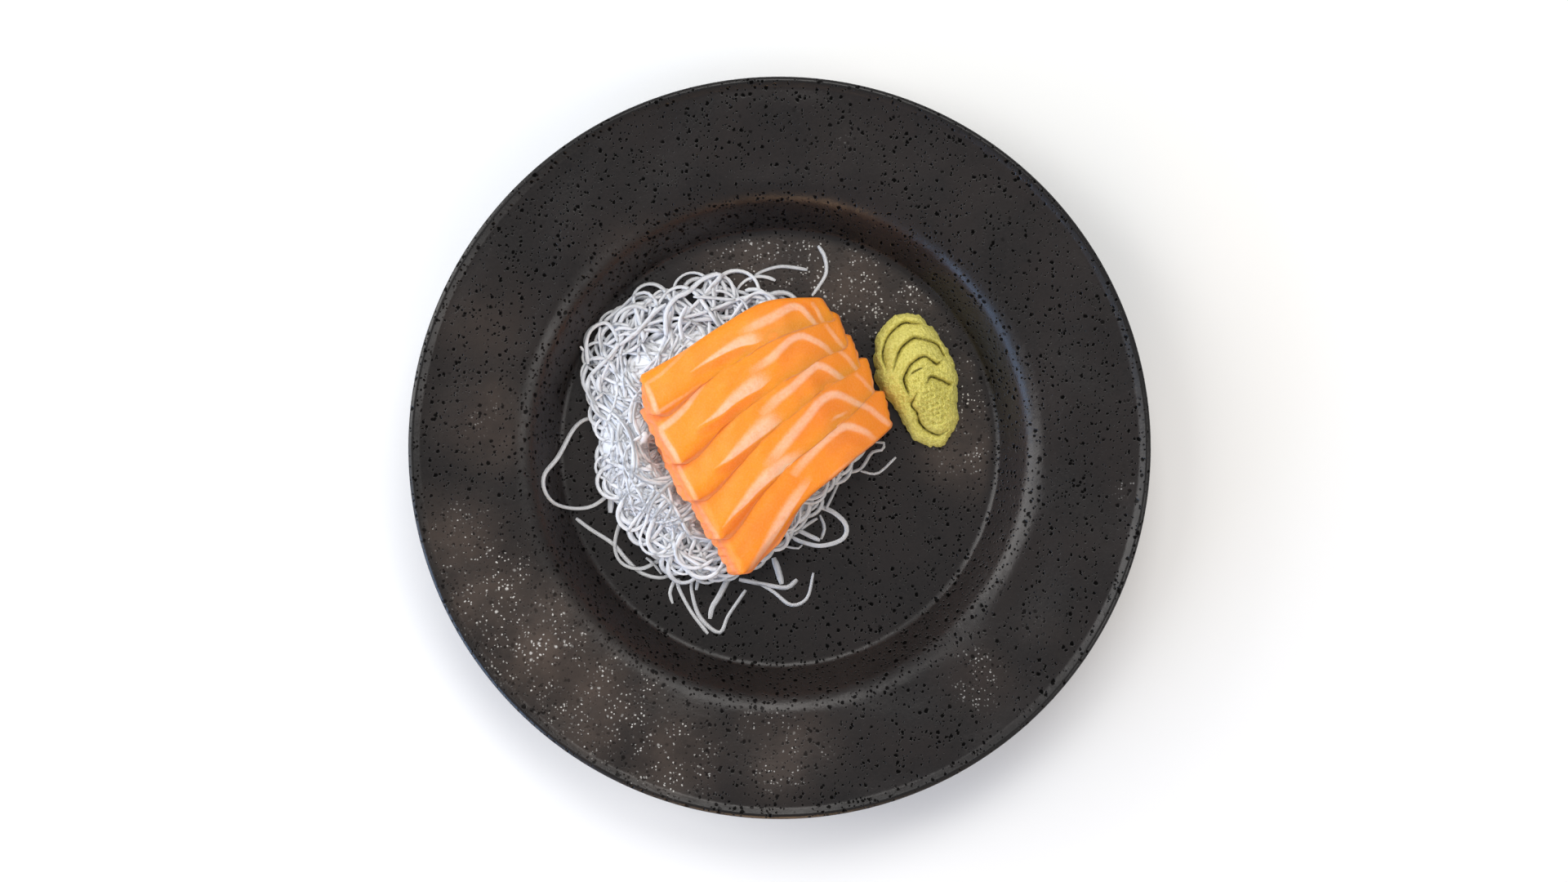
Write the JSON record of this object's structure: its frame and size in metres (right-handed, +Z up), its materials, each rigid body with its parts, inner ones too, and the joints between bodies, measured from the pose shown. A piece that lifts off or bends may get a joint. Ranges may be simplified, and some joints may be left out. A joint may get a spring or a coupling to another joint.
{
  "type": "sashimi plate",
  "caption": "Round dark stoneware plate with raw salmon slices fanned over shredded white radish, beside a ridged mound of wasabi.",
  "frame": {"origin": "centre of the plate's foot ring, on the surface that the plate stands on", "axes": "+Z up, +X to the right of the plate as served, where the wasabi lies, +Y to its top"},
  "size_m": [0.2496, 0.2496, 0.0305],
  "materials": {
    "stoneware": "satin speckled glaze",
    "radish": "moist, slightly translucent",
    "salmon": "moist flesh with pale fat lines",
    "wasabi": "grainy paste"
  },
  "bodies": {
    "root": {"plate": "stoneware", "daikon_heap": "radish", "salmon_slice_1": "salmon", "salmon_slice_2": "salmon", "salmon_slice_3": "salmon", "salmon_slice_4": "salmon", "salmon_slice_5": "salmon", "wasabi_mound": "wasabi"}
  },
  "joints": []
}
